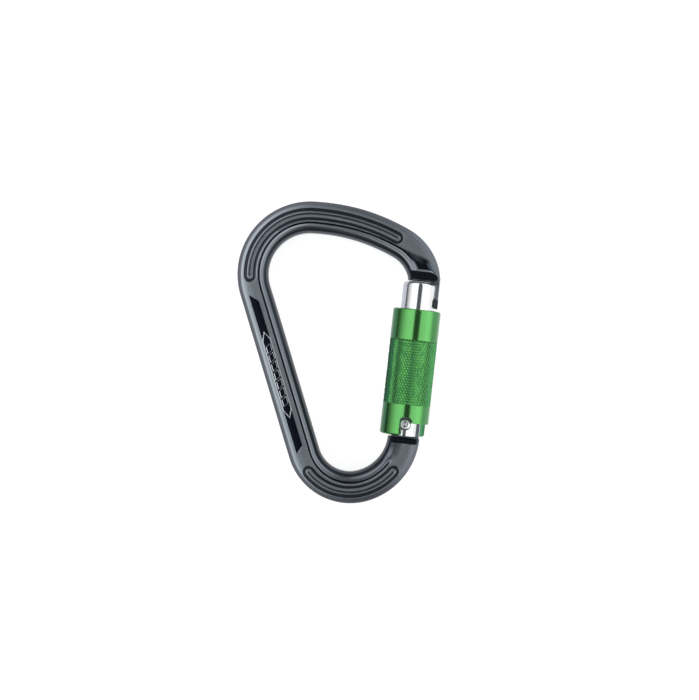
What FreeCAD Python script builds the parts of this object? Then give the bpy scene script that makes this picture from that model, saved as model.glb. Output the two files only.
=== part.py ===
import FreeCAD, Part
import math
import os
import Sketcher

# Auto-locking carabiner. Sketches are drawn about the hinge rivet: the gate runs along +Y, the frame
# curves round through -X, and Z is the thickness. Every body is then placed about the box centre.

doc = FreeCAD.newDocument("LockingCarabiner")
sheet = doc.addObject("Spreadsheet::Sheet", "Dims")

# name, value in mm or degrees (or a formula), what it drives
DIMS = [
    ("rivet_x", 28.77, "rivet axis from the centre of the box"),
    ("rivet_y", -22.665, "rivet axis from the centre of the box"),
    # forged bar, one section swept along the frame
    ("bar_w", 11.35, "width of the bar seen from the front"),
    ("half_w", "=bar_w / 2", "half width"),
    ("web_half", 4.8, "half thickness at the flat faces"),
    ("bead_half", 5.2, "half thickness at the rope bead"),
    ("edge_half", 3.5, "half height of the outer edge face"),
    ("bevel_in", "=half_w - 1.55", "where the outer bevel starts"),
    ("bead_in", "=3.55 - half_w", "outer side of the rope bead"),
    ("bead_line", "=bead_in + 0.5", "outer side of the line beside the bead"),
    ("line_half", 4.4, "half thickness in that line"),
    ("bead_flat", "=bead_in - 0.45", "where the bead starts to round"),
    ("bead_edge", 2.1, "half height of the bead's inner face"),
    ("bead_r", 3.1, "bead rounding"),
    # centre-line of the bar: tangent arcs and one straight
    ("low_right_x", -20.121, "arc under the hinge"),
    ("shoulder_y", -4.9, "top of the bar at the hinge"),
    ("low_right_r", 20.321, "arc under the hinge"),
    ("low_left_x", -19.06, "lower left arc"),
    ("low_left_r", 17.155, "lower left arc"),
    ("top_left_x", -39.79, "upper left arc"),
    ("top_left_y", 49.62, "upper left arc"),
    ("top_left_r", 20.675, "upper left arc"),
    ("crown_x", -37.16, "long arc along the top"),
    ("crown_r", 71.405, "long arc along the top"),
    ("top_right_r", 16.755, "upper right arc"),
    ("nose_arc_x", -8.58, "arc into the nose"),
    ("nose_arc_r", 9.675, "arc into the nose"),
    ("nose_y", 51.6, "face of the nose"),
    ("hinge_x", "=low_right_x + low_right_r", "bar centre at the hinge"),
    ("low_left_y", "=shoulder_y - sqrt((low_right_r - low_left_r)^2 - (low_right_x - low_left_x)^2)",
     "lower left arc"),
    ("span_x", "=top_left_x - low_left_x", "between the two left arcs"),
    ("span_y", "=top_left_y - low_left_y", "between the two left arcs"),
    ("spine_tilt", "=atan2(span_y; span_x) + asin((top_left_r - low_left_r) / hypot(span_x; span_y))",
     "direction of the spine"),
    ("spine_x", "=low_left_x - low_left_r * sin(spine_tilt)", "lower end of the spine"),
    ("spine_y", "=low_left_y + low_left_r * cos(spine_tilt)", "lower end of the spine"),
    # grooves and recesses in both faces, offsets from the centre-line
    ("rib_out", 3.35, "outer side of the rib groove"),
    ("rib_in", -0.85, "inner side of the rib groove"),
    ("isle_out", 2.4, "outer side of the island"),
    ("isle_in", -0.1, "inner side of the island"),
    ("vein_out", 1.75, "outer side of the thin line"),
    ("vein_in", 1.25, "inner side of the thin line"),
    ("rib_deep", 0.55, "depth of the rib groove"),
    ("top_rib_start", 46.6, "top rib, centre of its round end at the spine"),
    ("top_rib_end", 66.3, "top rib, centre of its round end at the nose"),
    ("low_rib_start", -17.35, "bottom rib, centre of its round end at the hinge"),
    ("low_rib_end", -20.8, "bottom rib, centre of its round end at the spine"),
    ("panel_deep", 0.5, "depth of the spine panel"),
    ("panel_out", 2.6, "outer side of the panel"),
    ("panel_in", -0.4, "inner side of the panel"),
    ("panel_lo_out", 0.6, "lower outer corner"),
    ("panel_lo_in", 3.05, "lower inner corner"),
    ("panel_hi_in", 57.0, "upper inner corner"),
    ("panel_hi_out", 60.3, "upper outer corner"),
    ("crest_lo", 13.6, "lower point of the cartouche"),
    ("crest_hi", 46.0, "upper point of the cartouche"),
    ("crest_mid", 1.1, "middle of the cartouche"),
    ("crest_top", "=crest_mid + 1.25", "outer side of the cartouche"),
    ("crest_low", "=crest_mid - 1.25", "inner side of the cartouche"),
    ("crest_lo_side", "=crest_lo + 2.2", "where its sides start"),
    ("crest_hi_side", "=crest_hi - 2.2", "where its sides end"),
    ("field_lo_point", "=crest_lo + 1.0", "field inside the raised rim"),
    ("field_hi_point", "=crest_hi - 1.0", "field inside the raised rim"),
    ("field_lo_side", "=crest_lo_side + 0.25", "field inside the raised rim"),
    ("field_hi_side", "=crest_hi_side - 0.25", "field inside the raised rim"),
    ("field_top", "=crest_top - 0.4", "field inside the raised rim"),
    ("field_low", "=crest_low + 0.4", "field inside the raised rim"),
    ("step_deep", 1.05, "depth of the milled steps below the bead"),
    ("hinge_step_hi", -5.3, "milled step under the hinge"),
    ("hinge_step_lo", -7.0, "milled step under the hinge"),
    ("nose_step_lo", 52.2, "milled step above the nose face"),
    ("nose_step_hi", 54.7, "milled step above the nose face"),
    ("step_reach", 7.5, "half length of the milling cuts"),
    # tang between the gate's ears, and nose key
    ("tang_thick", 4.0, "thickness of the tang"),
    ("tang_right", 5.55, "outer side of the tang"),
    ("tang_left", -4.3, "inner side of the tang"),
    ("tang_root", -6.5, "inside the bar"),
    ("tang_side", 1.4, "top of the tang's outer side"),
    ("tip_r", 1.85, "round tip of the plunger"),
    ("cam_x", -3.2274, "centre of the cam arc"),
    ("cam_y", 0.4284, "centre of the cam arc"),
    ("tip_track_r", 7.3214, "arc that the plunger's centre follows"),
    ("cam_gap", 0.07, "between cam and plunger"),
    ("cam_r", "=tip_track_r - tip_r - cam_gap", "cam arc under the plunger"),
    ("tang_top_x", 0.6, "outer end of the cam"),
    ("tang_top_y", "=cam_y + sqrt(cam_r^2 - (tang_top_x - cam_x)^2)", "outer end of the cam"),
    ("cam_end_y", "=cam_y + sqrt(cam_r^2 - (tang_left - cam_x)^2)", "inner end of the cam"),
    ("key_in", 3.6, "inner side of the nose key"),
    ("key_out", 6.77, "outer side of the nose key"),
    ("key_root", 53.5, "inside the nose"),
    ("neck_half", 1.6, "half width of the key's neck"),
    ("head_half", 2.6, "half width of the key's head"),
    ("key_ledge", 45.9, "where the head starts"),
    ("key_slope", 45.1, "foot of the ledge's slope"),
    ("key_end", 42.5, "end of the key"),
    ("key_tip_half", 2.0, "half width at the key's end"),
    ("key_tip", 43.1, "start of the end chamfer"),
    # rivet
    ("rivet_r", 2.0, "shank"),
    ("tang_bore_r", 2.05, "running bore in the tang"),
    ("ear_bore_r", 2.01, "bores in the ears"),
    ("rivet_head_r", 2.05, "formed head"),
    ("rivet_front", 5.5, "outer face of the head, inside the sleeve's bore"),
    ("rivet_edge", 5.2, "start of the head's chamfer"),
    ("rivet_flat_r", 1.75, "end of the head's chamfer"),
    ("rivet_seat", 4.45, "face milled on the ear under the head"),
    ("seat_r", 2.35, "radius of that face"),
    ("rivet_back", -4.4, "rear end, below the sleeve's bore"),
    ("dimple_r", 1.15, "dimple in the head"),
    ("dimple_floor", 5.0, "bottom of the dimple"),
    ("dimple_in_r", 0.75, "bottom of the dimple"),
    # gate
    ("stem_r", 5.0, "thinner part inside the sleeve"),
    ("barrel_r", 6.0, "polished barrel"),
    ("barrel_lo", 33.0, "step the spring bears on"),
    ("gate_lo", -4.2, "end of the ears"),
    ("gate_hi", 51.2, "end of the barrel"),
    ("barrel_round", 1.4, "rounding of the barrel's end"),
    ("round_y", "=gate_hi - barrel_round", "start of the rounding"),
    ("round_x", "=barrel_r - barrel_round", "end of the rounding"),
    ("ear_flat", 4.5, "outer flat on the ears"),
    ("ear_flat_hi", 2.6, "top of that flat"),
    ("ear_swing_r", 4.7, "inner corner, rounded about the rivet"),
    ("slot_half", 2.1, "half width of the slot for the tang"),
    ("slot_hi", 8.0, "top of that slot"),
    ("plunger_bore_r", 1.95, "bore for the plunger"),
    ("bore_start", "=slot_hi - 1", "the bore opens into the slot"),
    ("plunger_bore_hi", 22.0, "end of that bore"),
    ("keyway_in", 1.6, "depth of the slot for the nose key"),
    ("keyway_neck", 1.95, "half width beside the neck"),
    ("keyway_head", 2.95, "half width beside the head"),
    ("keyway_ledge", 46.25, "top of the wide part"),
    ("keyway_lo", 41.8, "floor of the slot"),
    ("cut_lo", -8.0, "cuts at the ears run past their end"),
    ("cut_r", 9.5, "cuts run past the outside"),
    ("cut_hi", 53.0, "the keyway runs past the end"),
    ("cut_through", 24.0, "length of cuts right through"),
    ("seat_deep", "=stem_r - rivet_seat", "depth of the face under the rivet head"),
    ("key_long", "=key_out - key_in", "length of the nose key"),
    # plunger and its spring
    ("tip_y", 7.0, "centre of its round tip"),
    ("tip_low", "=tip_y - tip_r", "lowest point of the tip"),
    ("plunger_hi", 12.0, "end of its body"),
    ("spigot_r", 0.9, "guide inside the spring"),
    ("spigot_hi", 15.0, "end of the guide"),
    ("coil_wire", 0.22, "gate spring wire radius"),
    ("coil_r", 1.45, "gate spring mean radius"),
    ("coil_lo", 12.27, "first wire centre"),
    ("coil_rise", 9.46, "height of the coil"),
    ("coil_pitch", 0.86, "gate spring pitch"),
    # locking sleeve
    ("sleeve_r", 8.6, "outside"),
    ("sleeve_bore", 6.1, "bore over the barrel"),
    ("sleeve_lo", -4.2, "bottom of the skirt"),
    ("sleeve_hi", 41.3, "top"),
    ("edge_r", "=sleeve_r - 0.6", "end chamfers"),
    ("edge_lo", "=sleeve_lo + 0.8", "bottom chamfer"),
    ("edge_hi", "=sleeve_hi - 0.6", "top chamfer"),
    ("collar_r", 5.08, "running bore on the stem"),
    ("collar_lo", 9.4, "underside of the inner collar"),
    ("collar_hi", 12.0, "top of the inner collar"),
    ("window_hi", 0.55, "upper edge of the cut-out"),
    ("window_turn", -39.0, "middle of the cut-out, about +Y from +X"),
    ("window_span", 130.0, "angle of the cut-out"),
    ("pocket_r", 2.6, "notch round the rivet head"),
    ("band_lo", 6.7, "lower end of the grip band"),
    ("band_hi", 30.6, "upper end of the grip band"),
    ("band_floor", "=sleeve_r - 0.12", "lines that end the grip band"),
    ("band_lo_in", "=band_lo + 0.35", "lines that end the grip band"),
    ("band_hi_in", "=band_hi - 0.35", "lines that end the grip band"),
    # spring washer and sleeve spring
    ("washer_r", 5.9, "outside"),
    ("washer_bore", 5.12, "inside"),
    ("washer_lo", 12.02, "underside"),
    ("washer_hi", 12.6, "top"),
    ("wire_r", 0.33, "sleeve spring wire radius"),
    ("spring_r", 5.53, "sleeve spring mean radius"),
    ("spring_lo", 12.97, "first wire centre"),
    ("spring_rise", 19.66, "height of the coil"),
    ("spring_pitch", 2.62, "sleeve spring pitch"),
]
for row, (alias, value, what) in enumerate(DIMS, start=1):
    sheet.set("A%d" % row, what)
    sheet.set("B%d" % row, str(value))
    sheet.setAlias("B%d" % row, alias)
doc.recompute()


def dim(name):
    """Value of a sheet cell; "0" is zero and a leading minus sign is allowed."""
    if name == "0":
        return 0.0
    if name.startswith("-"):
        return -dim(name[1:])
    value = sheet.get(name)
    return float(getattr(value, "Value", value))


def expr(*names):
    return " + ".join("(-Dims.%s)" % n[1:] if n.startswith("-") else "Dims." + n for n in names)


def new_body(label):
    body = doc.addObject("PartDesign::Body", label)
    body.Label = label
    body.setExpression("Placement.Base.x", "Dims.rivet_x")
    body.setExpression("Placement.Base.y", "Dims.rivet_y")
    return body


def plane(body, role):
    return [o for o in body.Origin.OriginFeatures if o.Role == role][0]


def sketch(body, name, role, lift=None, shift=None, turn=None):
    """Sketch on an origin plane, moved along its normal, within the plane and about an axis."""
    sk = body.newObject("Sketcher::SketchObject", name)
    sk.AttachmentSupport = [(plane(body, role), "")]
    sk.MapMode = "FlatFace"
    if turn:
        axis, angle = turn
        sk.AttachmentOffset = FreeCAD.Placement(FreeCAD.Vector(), FreeCAD.Rotation(axis, dim(angle)))
        sk.setExpression("AttachmentOffset.Rotation.Angle", expr(angle))
    if lift:
        sk.setExpression("AttachmentOffset.Base.z", expr(lift))
    if shift:
        sk.setExpression("AttachmentOffset.Base.x", expr(shift[0]))
        if shift[1]:
            sk.setExpression("AttachmentOffset.Base.y", expr(shift[1]))
    return sk


def bound(sk, kind, refs, *names):
    """Add a constraint whose value is the sum of sheet values."""
    index = sk.addConstraint(Sketcher.Constraint(kind, *refs, sum(dim(n) for n in names)))
    label = "c%d" % index
    sk.renameConstraint(index, label)
    sk.setExpression("Constraints." + label, expr(*names))


def pin_point(sk, geo, pos, x_name, y_name):
    """Tie a point to two sheet values; '0' puts it on the axis."""
    if x_name == "0":
        sk.addConstraint(Sketcher.Constraint("PointOnObject", geo, pos, -2))
    else:
        bound(sk, "DistanceX", (-1, 1, geo, pos), x_name)
    if y_name == "0":
        sk.addConstraint(Sketcher.Constraint("PointOnObject", geo, pos, -1))
    else:
        bound(sk, "DistanceY", (-1, 1, geo, pos), y_name)


def arc_centre(start, end, radius, side):
    """Centre of the arc from start to end; side +1 lies left of the chord, -1 right."""
    chord = end - start
    rise = math.sqrt(max(radius ** 2 - (chord.Length / 2) ** 2, 0.0))
    left = FreeCAD.Vector(-chord.y, chord.x, 0).normalize()
    return (start + end) * 0.5 + left * rise * side


def outline(sk, corners):
    """Closed outline. A corner is (x, y) or (x, y, radius, side): an arc runs on to the next corner."""
    points = [FreeCAD.Vector(dim(corner[0]), dim(corner[1]), 0) for corner in corners]
    ends = []
    for i, corner in enumerate(corners):
        a = points[i]
        b = points[(i + 1) % len(points)]
        if len(corner) == 2:
            geo = sk.addGeometry(Part.LineSegment(a, b), False)
            ends.append((geo, 1, 2))
            continue
        radius, side = dim(corner[2]), corner[3]
        c = arc_centre(a, b, radius, side)
        first = math.atan2(a.y - c.y, a.x - c.x)
        last = math.atan2(b.y - c.y, b.x - c.x)
        circle = Part.Circle(c, FreeCAD.Vector(0, 0, 1), radius)
        if side > 0:
            geo = sk.addGeometry(Part.ArcOfCircle(circle, first, last), False)
            ends.append((geo, 1, 2))
        else:
            geo = sk.addGeometry(Part.ArcOfCircle(circle, last, first), False)
            ends.append((geo, 2, 1))
    for i, corner in enumerate(corners):
        geo, start, end = ends[i]
        after = ends[(i + 1) % len(ends)]
        sk.addConstraint(Sketcher.Constraint("Coincident", geo, end, after[0], after[1]))
        pin_point(sk, geo, start, corner[0], corner[1])
        if len(corner) == 4:
            bound(sk, "Radius", (geo,), corner[2])


def circle(sk, radius, x_name="0", y_name="0"):
    centre = FreeCAD.Vector(dim(x_name), dim(y_name), 0)
    geo = sk.addGeometry(Part.Circle(centre, FreeCAD.Vector(0, 0, 1), dim(radius)), False)
    pin_point(sk, geo, 3, x_name, y_name)
    bound(sk, "Radius", (geo,), radius)


def feature(body, kind, name, sk, **props):
    """PartDesign feature on a sketch; string values are bound to the sheet."""
    item = body.newObject("PartDesign::" + kind, name)
    item.Profile = sk
    for key, value in props.items():
        if isinstance(value, str) and key in ("Length", "Angle", "Pitch", "Height"):
            setattr(item, key, dim(value))
            item.setExpression(key, expr(value))
        else:
            setattr(item, key, value)
    sk.Visibility = False
    doc.recompute()
    return item


def turned(body, name, sk, kind="Revolution", **props):
    return feature(body, kind, name, sk, ReferenceAxis=(sk, ["V_Axis"]), **props)


# ---------------------------------------------------------------- frame
frame = new_body("body")

path = sketch(frame, "CentreLine", "XY_Plane")


def path_arc(x, y, radius, first, last):
    """Arc between two directions, counter-clockwise from first to last."""
    ring = Part.Circle(FreeCAD.Vector(x, y, 0), FreeCAD.Vector(0, 0, 1), radius)
    return path.addGeometry(Part.ArcOfCircle(ring, math.radians(first), math.radians(last)), False)


tilt = dim("spine_tilt") + 90
arcs = [
    path_arc(dim("low_right_x"), dim("shoulder_y"), dim("low_right_r"), -70.4, 0),
    path_arc(dim("low_left_x"), dim("low_left_y"), dim("low_left_r"), tilt - 360, -70.4),
]
spine_dir = FreeCAD.Vector(math.cos(math.radians(tilt - 90)), math.sin(math.radians(tilt - 90)), 0)
spine_start = FreeCAD.Vector(dim("spine_x"), dim("spine_y"), 0)
spine = path.addGeometry(Part.LineSegment(spine_start, spine_start + spine_dir * 61.0), False)
arcs += [
    path_arc(dim("top_left_x"), dim("top_left_y"), dim("top_left_r"), 93.0, tilt),
    path_arc(dim("crown_x"), -1.04, dim("crown_r"), 66.3, 93.0),
    path_arc(-15.16, 48.99, dim("top_right_r"), 21.7, 66.3),
    path_arc(dim("nose_arc_x"), dim("nose_y"), dim("nose_arc_r"), 0, 21.7),
]
low_right, low_left, top_left, crown, top_right, nose_arc = arcs
for g, p, g2, p2 in (
    (low_right, 1, low_left, 2),
    (low_left, 1, spine, 1),
    (spine, 2, top_left, 2),
    (top_left, 1, crown, 2),
    (crown, 1, top_right, 2),
    (top_right, 1, nose_arc, 2),
):
    path.addConstraint(Sketcher.Constraint("Tangent", g, p, g2, p2))
for geo, radius in (
    (low_right, "low_right_r"),
    (low_left, "low_left_r"),
    (top_left, "top_left_r"),
    (crown, "crown_r"),
    (top_right, "top_right_r"),
    (nose_arc, "nose_arc_r"),
):
    bound(path, "Radius", (geo,), radius)
pin_point(path, low_right, 3, "low_right_x", "shoulder_y")
bound(path, "DistanceX", (-1, 1, low_left, 3), "low_left_x")
pin_point(path, top_left, 3, "top_left_x", "top_left_y")
bound(path, "DistanceX", (-1, 1, crown, 3), "crown_x")
pin_point(path, nose_arc, 3, "nose_arc_x", "nose_y")
bound(path, "DistanceY", (-1, 1, low_right, 2), "shoulder_y")
bound(path, "DistanceY", (-1, 1, nose_arc, 1), "nose_y")

section = sketch(frame, "BarSection", "XZ_Plane", lift="-shoulder_y", shift=("hinge_x", None))
outline(section, [
    ("half_w", "-edge_half"),
    ("half_w", "edge_half"),
    ("bevel_in", "web_half"),
    ("bead_line", "web_half"),
    ("bead_line", "line_half"),
    ("bead_in", "line_half"),
    ("bead_in", "bead_half"),
    ("bead_flat", "bead_half", "bead_r", 1),
    ("-half_w", "bead_edge"),
    ("-half_w", "-bead_edge", "bead_r", 1),
    ("bead_flat", "-bead_half"),
    ("bead_in", "-bead_half"),
    ("bead_in", "-line_half"),
    ("bead_line", "-line_half"),
    ("bead_line", "-web_half"),
    ("bevel_in", "-web_half"),
])
doc.recompute()
feature(frame, "AdditivePipe", "Bar", section, Spine=(path, []))

tang_sketch = sketch(frame, "TangOutline", "XY_Plane")
outline(tang_sketch, [
    ("tang_right", "tang_root"),
    ("tang_right", "tang_side"),
    ("tang_top_x", "tang_top_y", "cam_r", 1),
    ("tang_left", "cam_end_y"),
    ("tang_left", "tang_root"),
])
feature(frame, "Pad", "Tang", tang_sketch, Midplane=True, Length="tang_thick")

key_sketch = sketch(frame, "KeyOutline", "YZ_Plane", lift="key_in")
outline(key_sketch, [
    ("key_tip", "-head_half"),
    ("key_slope", "-head_half"),
    ("key_ledge", "-neck_half"),
    ("key_root", "-neck_half"),
    ("key_root", "neck_half"),
    ("key_ledge", "neck_half"),
    ("key_slope", "head_half"),
    ("key_tip", "head_half"),
    ("key_end", "key_tip_half"),
    ("key_end", "-key_tip_half"),
])
feature(frame, "Pad", "NoseKey", key_sketch, Length="key_long")

bore_sketch = sketch(frame, "TangBore", "XY_Plane")
circle(bore_sketch, "tang_bore_r")
feature(frame, "Pocket", "RivetBore", bore_sketch, Midplane=True, Length="cut_through")


def band(sk, first, second, out, inn, start, end):
    """Closed band of two joined arcs with round ends, concentric with two arcs of the centre-line."""
    mid = (dim(out) + dim(inn)) / 2
    half = (dim(out) - dim(inn)) / 2
    turns = [math.radians(first[3]), math.radians(first[2]), math.radians(second[2])]
    spans = ((turns[1], turns[0]), (turns[2], turns[1]))
    sides = []
    for offset_name in (out, inn):
        row = []
        for (geo, radius_name, _, _), (low, high) in zip((first, second), spans):
            ring = Part.Circle(centre[geo], FreeCAD.Vector(0, 0, 1), dim(radius_name) + dim(offset_name))
            arc = sk.addGeometry(Part.ArcOfCircle(ring, low, high), False)
            sk.addConstraint(Sketcher.Constraint("Coincident", arc, 3, outside[geo], 3))
            row.append(arc)
        bound(sk, "Radius", (row[0],), first[1], offset_name)
        sk.addConstraint(Sketcher.Constraint("Tangent", row[0], 1, row[1], 2))
        sides.append(row)
    caps = []
    for (geo, radius_name, _, _), turn, back in ((first, turns[0], 0), (second, turns[2], math.pi)):
        reach = dim(radius_name) + mid
        middle = centre[geo] + FreeCAD.Vector(math.cos(turn), math.sin(turn), 0) * reach
        ring = Part.Circle(middle, FreeCAD.Vector(0, 0, 1), half)
        caps.append(sk.addGeometry(Part.ArcOfCircle(ring, turn + back, turn + back + math.pi), False))
    sk.addConstraint(Sketcher.Constraint("Tangent", caps[0], 1, sides[0][0], 2))
    sk.addConstraint(Sketcher.Constraint("Tangent", caps[0], 2, sides[1][0], 2))
    sk.addConstraint(Sketcher.Constraint("Tangent", caps[1], 1, sides[1][1], 1))
    sk.addConstraint(Sketcher.Constraint("Tangent", caps[1], 2, sides[0][1], 1))
    bound(sk, "DistanceY", (-1, 1, caps[0], 3), start)
    bound(sk, "DistanceY", (-1, 1, caps[1], 3), end)


doc.recompute()
centre = {geo: path.Geometry[geo].Center for geo in arcs}
edge_name = {}
for number, edge in enumerate(path.Shape.Edges, start=1):
    for geo in arcs:
        if hasattr(edge.Curve, "Center") and edge.Curve.Center.isEqual(centre[geo], 1e-5):
            edge_name[geo] = "Edge%d" % number
# geometry index, radius, and its two ends in degrees, the far one last
low_rib = ((low_right, "low_right_r", -70.4, -33.0), (low_left, "low_left_r", -138.0, 0))
top_rib = ((top_left, "top_left_r", 93.1, 189.0), (crown, "crown_r", 68.5, 0))
face_cuts = []
for label, rib, start, end in (
    ("LowRib", low_rib, "low_rib_start", "low_rib_end"),
    ("TopRib", top_rib, "top_rib_start", "top_rib_end"),
):
    groove = sketch(frame, label + "Groove", "XY_Plane", lift="web_half")
    outside = {}
    for geo, _, _, _ in rib:
        groove.addExternal(path.Name, edge_name[geo])
        outside[geo] = -3 - len(outside)
    for out, inn in (("rib_out", "rib_in"), ("isle_out", "isle_in"), ("vein_out", "vein_in")):
        band(groove, rib[0], rib[1], out, inn, start, end)
    face_cuts.append(feature(frame, "Pocket", label, groove, Length="rib_deep"))

panel = sketch(frame, "PanelOutline", "XY_Plane", lift="web_half", shift=("spine_x", "spine_y"),
               turn=(FreeCAD.Vector(0, 0, 1), "spine_tilt"))
outline(panel, [
    ("panel_lo_out", "panel_out"),
    ("panel_lo_in", "panel_in"),
    ("panel_hi_in", "panel_in"),
    ("panel_hi_out", "panel_out"),
])
outline(panel, [
    ("crest_lo", "crest_mid"),
    ("crest_lo_side", "crest_low"),
    ("crest_hi_side", "crest_low"),
    ("crest_hi", "crest_mid"),
    ("crest_hi_side", "crest_top"),
    ("crest_lo_side", "crest_top"),
])
outline(panel, [
    ("field_lo_point", "crest_mid"),
    ("field_lo_side", "field_low"),
    ("field_hi_side", "field_low"),
    ("field_hi_point", "crest_mid"),
    ("field_hi_side", "field_top"),
    ("field_lo_side", "field_top"),
])
face_cuts.append(feature(frame, "Pocket", "SpinePanel", panel, Length="panel_deep"))

for label, low, high in (
    ("HingeStep", "hinge_step_lo", "hinge_step_hi"),
    ("NoseStep", "nose_step_lo", "nose_step_hi"),
):
    step = sketch(frame, label + "Outline", "XY_Plane", lift="bead_half")
    outline(step, [("-step_reach", low), ("step_reach", low), ("step_reach", high), ("-step_reach", high)])
    face_cuts.append(feature(frame, "Pocket", label, step, Length="step_deep"))

back = frame.newObject("PartDesign::Mirrored", "BackFace")
back.Originals = face_cuts
back.MirrorPlane = (plane(frame, "XY_Plane"), [""])
frame.Tip = back
doc.recompute()

# ---------------------------------------------------------------- gate
gate = new_body("gate")
barrel = sketch(gate, "BarrelProfile", "XY_Plane")
outline(barrel, [
    ("0", "gate_lo"),
    ("stem_r", "gate_lo"),
    ("stem_r", "barrel_lo"),
    ("barrel_r", "barrel_lo"),
    ("barrel_r", "round_y", "barrel_round", 1),
    ("round_x", "gate_hi"),
    ("0", "gate_hi"),
])
turned(gate, "Barrel", barrel)

plunger_bore = sketch(gate, "PlungerBoreProfile", "XY_Plane")
outline(plunger_bore, [
    ("0", "bore_start"),
    ("plunger_bore_r", "bore_start"),
    ("plunger_bore_r", "plunger_bore_hi"),
    ("0", "plunger_bore_hi"),
])
turned(gate, "PlungerBore", plunger_bore, "Groove")

tang_slot = sketch(gate, "TangSlotOutline", "YZ_Plane")
outline(tang_slot, [
    ("cut_lo", "-slot_half"),
    ("slot_hi", "-slot_half"),
    ("slot_hi", "slot_half"),
    ("cut_lo", "slot_half"),
])
feature(gate, "Pocket", "TangSlot", tang_slot, Midplane=True, Length="cut_through")

flat = sketch(gate, "EarFlatOutline", "XY_Plane")
outline(flat, [
    ("ear_flat", "cut_lo"),
    ("cut_r", "cut_lo"),
    ("cut_r", "ear_flat_hi"),
    ("ear_flat", "ear_flat_hi"),
])
feature(gate, "Pocket", "EarFlat", flat, Midplane=True, Length="cut_through")

corner = sketch(gate, "EarCornerOutline", "XY_Plane")
outline(corner, [
    ("-ear_swing_r", "0", "ear_swing_r", 1),
    ("0", "-ear_swing_r"),
    ("0", "cut_lo"),
    ("-cut_r", "cut_lo"),
    ("-cut_r", "0"),
])
feature(gate, "Pocket", "EarCorner", corner, Midplane=True, Length="cut_through")

ear_bore = sketch(gate, "EarBoreCircle", "XY_Plane")
circle(ear_bore, "ear_bore_r")
feature(gate, "Pocket", "EarBore", ear_bore, Midplane=True, Length="cut_through")

seat = sketch(gate, "HeadSeatCircle", "XY_Plane", lift="stem_r")
circle(seat, "seat_r")
feature(gate, "Pocket", "HeadSeat", seat, Length="seat_deep")

keyway = sketch(gate, "KeywayOutline", "YZ_Plane", lift="keyway_in")
outline(keyway, [
    ("keyway_lo", "-keyway_head"),
    ("keyway_ledge", "-keyway_head"),
    ("keyway_ledge", "-keyway_neck"),
    ("cut_hi", "-keyway_neck"),
    ("cut_hi", "keyway_neck"),
    ("keyway_ledge", "keyway_neck"),
    ("keyway_ledge", "keyway_head"),
    ("keyway_lo", "keyway_head"),
])
feature(gate, "Pocket", "Keyway", keyway, Reversed=True, Length="cut_r")

# ---------------------------------------------------------------- hinge rivet
rivet = new_body("hinge_rivet")
shank = sketch(rivet, "RivetProfile", "XZ_Plane")
outline(shank, [
    ("0", "rivet_back"),
    ("rivet_r", "rivet_back"),
    ("rivet_r", "rivet_seat"),
    ("rivet_head_r", "rivet_seat"),
    ("rivet_head_r", "rivet_edge"),
    ("rivet_flat_r", "rivet_front"),
    ("dimple_r", "rivet_front"),
    ("dimple_in_r", "dimple_floor"),
    ("0", "dimple_floor"),
])
turned(rivet, "Rivet", shank)

# ---------------------------------------------------------------- gate plunger and spring
plunger = new_body("gate_plunger")
pin = sketch(plunger, "PlungerProfile", "XY_Plane")
outline(pin, [
    ("0", "tip_low", "tip_r", 1),
    ("tip_r", "tip_y"),
    ("tip_r", "plunger_hi"),
    ("spigot_r", "plunger_hi"),
    ("spigot_r", "spigot_hi"),
    ("0", "spigot_hi"),
])
turned(plunger, "Plunger", pin)


def coil(label, radius, start, wire, pitch, rise):
    body = new_body(label)
    section = sketch(body, label + "_wire", "XY_Plane")
    circle(section, wire, radius, start)
    item = turned(body, label + "_coil", section, "AdditiveHelix", Mode="pitch-height-angle",
                  Pitch=pitch, Height=rise)
    return item


coil("gate_spring", "coil_r", "coil_lo", "coil_wire", "coil_pitch", "coil_rise")

# ---------------------------------------------------------------- locking sleeve
sleeve = new_body("locking_sleeve")
shell = sketch(sleeve, "SleeveProfile", "XY_Plane")
outline(shell, [
    ("sleeve_bore", "sleeve_lo"),
    ("edge_r", "sleeve_lo"),
    ("sleeve_r", "edge_lo"),
    ("sleeve_r", "band_lo"),
    ("band_floor", "band_lo"),
    ("band_floor", "band_lo_in"),
    ("sleeve_r", "band_lo_in"),
    ("sleeve_r", "band_hi_in"),
    ("band_floor", "band_hi_in"),
    ("band_floor", "band_hi"),
    ("sleeve_r", "band_hi"),
    ("sleeve_r", "edge_hi"),
    ("edge_r", "sleeve_hi"),
    ("sleeve_bore", "sleeve_hi"),
    ("sleeve_bore", "collar_hi"),
    ("collar_r", "collar_hi"),
    ("collar_r", "collar_lo"),
    ("sleeve_bore", "collar_lo"),
])
turned(sleeve, "Shell", shell)

window = sketch(sleeve, "WindowProfile", "XY_Plane", turn=(FreeCAD.Vector(0, 1, 0), "window_turn"))
outline(window, [
    ("stem_r", "cut_lo"),
    ("cut_r", "cut_lo"),
    ("cut_r", "window_hi"),
    ("stem_r", "window_hi"),
])
turned(sleeve, "Window", window, "Groove", Midplane=True, Angle="window_span")

notch = sketch(sleeve, "NotchCircle", "XY_Plane")
circle(notch, "pocket_r")
feature(sleeve, "Pocket", "RivetNotch", notch, Reversed=True, Length="cut_r")

# ---------------------------------------------------------------- spring washer and sleeve spring
washer = new_body("spring_washer")
ring_profile = sketch(washer, "WasherProfile", "XY_Plane")
outline(ring_profile, [
    ("washer_bore", "washer_lo"),
    ("washer_r", "washer_lo"),
    ("washer_r", "washer_hi"),
    ("washer_bore", "washer_hi"),
])
turned(washer, "Washer", ring_profile)

coil("sleeve_spring", "spring_r", "spring_lo", "wire_r", "spring_pitch", "spring_rise")

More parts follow.
